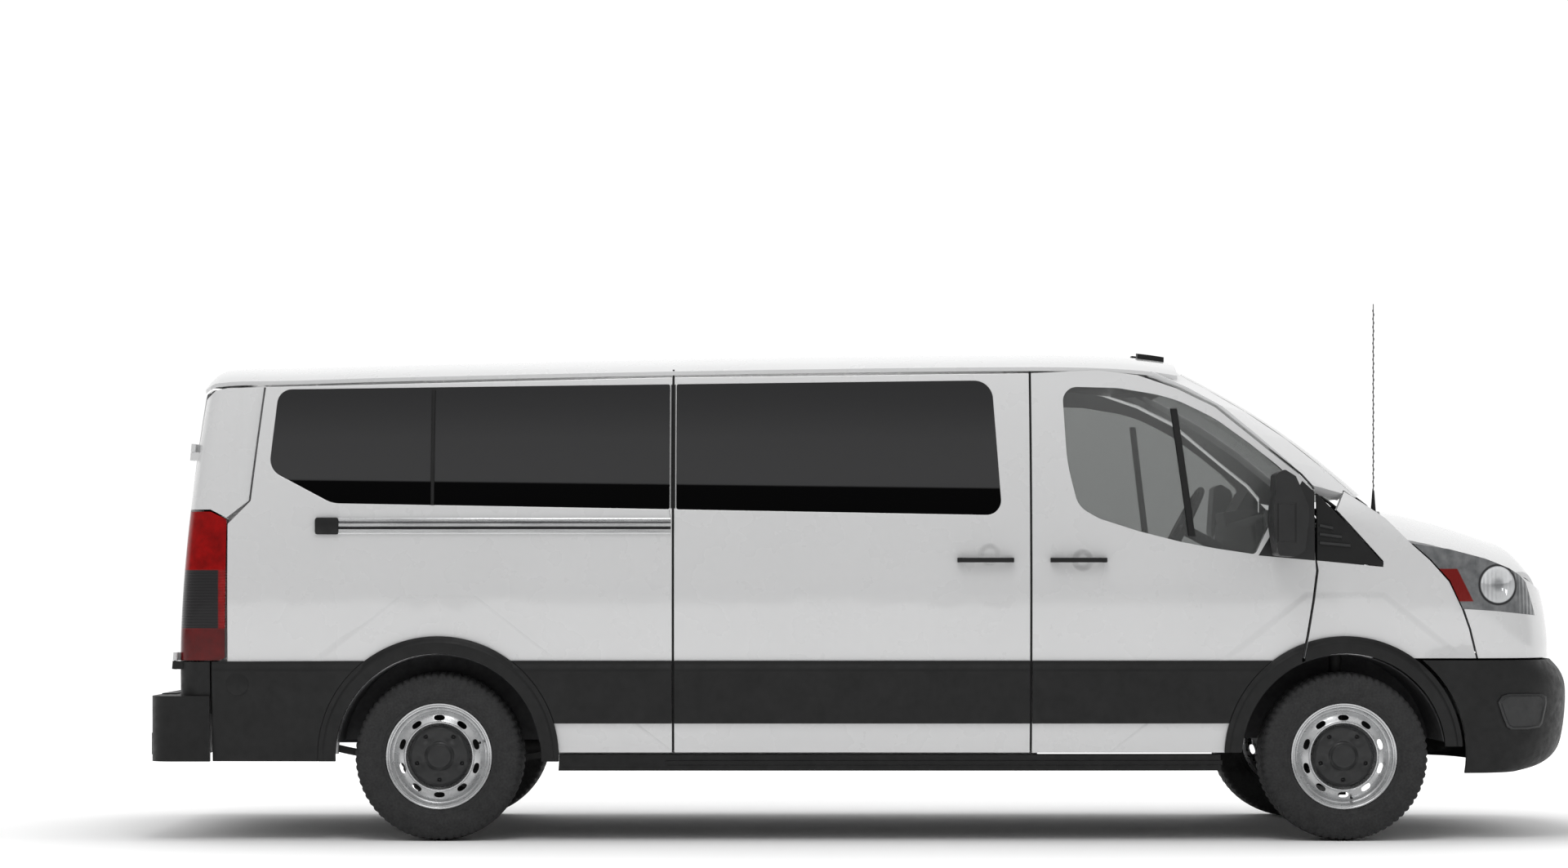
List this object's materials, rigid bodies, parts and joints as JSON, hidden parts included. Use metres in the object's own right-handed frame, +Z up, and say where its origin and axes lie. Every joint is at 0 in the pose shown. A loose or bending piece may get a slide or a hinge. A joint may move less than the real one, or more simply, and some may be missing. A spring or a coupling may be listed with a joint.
{
  "type": "long-wheelbase low-roof passenger minibus",
  "caption": "White long-wheelbase passenger minibus with dark side glass, black lower cladding, steel wheels, hinged front and rear doors, bonnet and steered front wheels.",
  "frame": {"origin": "On the ground under the middle of the overall length and width, with the wheels standing on z = 0.", "axes": "+X points forward, +Y to the vehicle's left, +Z up."},
  "size_m": [5.9812, 2.5126, 2.2339],
  "materials": {
    "white_paint": "gloss white body paint",
    "black_plastic": "grained black trim",
    "clear_glass": "light green tint",
    "dark_glass": "dark privacy tint",
    "tyre_rubber": "road tyre rubber",
    "wheel_steel": "silver painted steel wheel",
    "red_lamp": "red lamp lens",
    "lamp_glass": "clear lamp lens over reflectors",
    "amber_lamp": "amber clearance lens",
    "bright_metal": "bright rail",
    "interior_plastic": "dark cabin trim",
    "seat_fabric": "woven seat cloth",
    "frame_steel": "black coated chassis steel",
    "floor_lining": "dark lining"
  },
  "bodies": {
    "van_body": {"aerial": "black_plastic", "bench_bases": "interior_plastic", "bench_seats": "seat_fabric", "body_frame": "white_paint", "chassis_frame": "frame_steel", "cowl": "black_plastic", "dashboard": "interior_plastic", "door_rail": "bright_metal", "engine": "frame_steel", "exhaust": "frame_steel", "fenders": "white_paint", "floor_pan": "floor_lining", "front_bumper": "black_plastic", "front_seat_bases": "interior_plastic", "front_seats": "seat_fabric", "front_suspension": "frame_steel", "fuel_tank": "interior_plastic", "grille": "black_plastic", "headlamps": "lamp_glass", "nose_panel": "white_paint", "quarter_panel_right": "white_paint", "rear_axle": "frame_steel", "rear_bumper": "black_plastic", "rear_corners": "white_paint", "roof": "white_paint", "roof_lamps": "amber_lamp", "screen_frame": "white_paint", "side_cladding": "black_plastic", "side_glass": "dark_glass", "side_panel_left": "white_paint", "sills": "black_plastic", "sliding_door": "white_paint", "sliding_door_glass": "dark_glass", "tail_lamps": "red_lamp", "windscreen": "clear_glass"},
    "bonnet": {"bonnet": "white_paint"},
    "steering_wheel": {"steering_wheel": "interior_plastic"},
    "front_door_right": {"front_door_right": "white_paint", "front_door_glass_right": "clear_glass", "door_cladding_right": "black_plastic", "mirror_right": "black_plastic"},
    "rear_door_right": {"rear_door_right": "white_paint", "rear_door_glass_right": "dark_glass"},
    "knuckle_right": {"knuckle_right": "frame_steel"},
    "wheel_front_right": {"tyre_front_right": "tyre_rubber", "rim_front_right": "wheel_steel"},
    "wheel_rear_right": {"tyre_rear_right": "tyre_rubber", "rim_rear_right": "wheel_steel"},
    "front_door_left": {"front_door_left": "white_paint", "front_door_glass_left": "clear_glass", "door_cladding_left": "black_plastic", "mirror_left": "black_plastic"},
    "rear_door_left": {"rear_door_left": "white_paint", "rear_door_glass_left": "dark_glass"},
    "knuckle_left": {"knuckle_left": "frame_steel"},
    "wheel_front_left": {"tyre_front_left": "tyre_rubber", "rim_front_left": "wheel_steel"},
    "wheel_rear_left": {"tyre_rear_left": "tyre_rubber", "rim_rear_left": "wheel_steel"}
  },
  "joints": [
    {"name": "front_door_right_hinge", "type": "hinge", "parent": "van_body", "child": "front_door_right", "pos_m": [1.743, -0.97217, 1.02], "axis": [0, 0.0209, 0.9998], "range_deg": [0, 65]},
    {"name": "rear_door_right_hinge", "type": "hinge", "parent": "van_body", "child": "rear_door_right", "pos_m": [-2.8805, -0.9285, 0.745], "axis": [0.0803, 0.0385, 0.996], "range_deg": [0, 178]},
    {"name": "steer_right", "type": "hinge", "parent": "van_body", "child": "knuckle_right", "pos_m": [1.9675, -0.83, 0.215], "axis": [0, 0.1871, 0.9823], "range_deg": [-33, 33]},
    {"name": "wheel_front_right_spin", "type": "hinge", "parent": "knuckle_right", "child": "wheel_front_right", "pos_m": [1.9675, -0.865, 0.35], "axis": [0, 1, 0], "continuous": true},
    {"name": "wheel_rear_right_spin", "type": "hinge", "parent": "van_body", "child": "wheel_rear_right", "pos_m": [-1.7825, -0.865, 0.35], "axis": [0, 1, 0], "continuous": true},
    {"name": "front_door_left_hinge", "type": "hinge", "parent": "van_body", "child": "front_door_left", "pos_m": [1.743, 0.97217, 1.02], "axis": [0, 0.0209, -0.9998], "range_deg": [0, 65]},
    {"name": "rear_door_left_hinge", "type": "hinge", "parent": "van_body", "child": "rear_door_left", "pos_m": [-2.8805, 0.9285, 0.745], "axis": [-0.0803, 0.0385, -0.996], "range_deg": [0, 178]},
    {"name": "steer_left", "type": "hinge", "parent": "van_body", "child": "knuckle_left", "pos_m": [1.9675, 0.83, 0.215], "axis": [0, -0.1871, 0.9823], "range_deg": [-33, 33]},
    {"name": "wheel_front_left_spin", "type": "hinge", "parent": "knuckle_left", "child": "wheel_front_left", "pos_m": [1.9675, 0.865, 0.35], "axis": [0, 1, 0], "continuous": true},
    {"name": "wheel_rear_left_spin", "type": "hinge", "parent": "van_body", "child": "wheel_rear_left", "pos_m": [-1.7825, 0.865, 0.35], "axis": [0, 1, 0], "continuous": true},
    {"name": "bonnet_hinge", "type": "hinge", "parent": "van_body", "child": "bonnet", "pos_m": [2.0803, 0, 1.3348], "axis": [0, -1, 0], "range_deg": [0, 55]},
    {"name": "steering_wheel_turn", "type": "hinge", "parent": "van_body", "child": "steering_wheel", "pos_m": [1.4335, 0.4325, 1.319], "axis": [-0.8829, 0, 0.4695], "range_deg": [-528, 528]}
  ],
  "couplings": [
    {"joint": "steer_left", "follows": "steer_right", "ratio": 1},
    {"joint": "steering_wheel_turn", "follows": "steer_right", "ratio": 16}
  ]
}
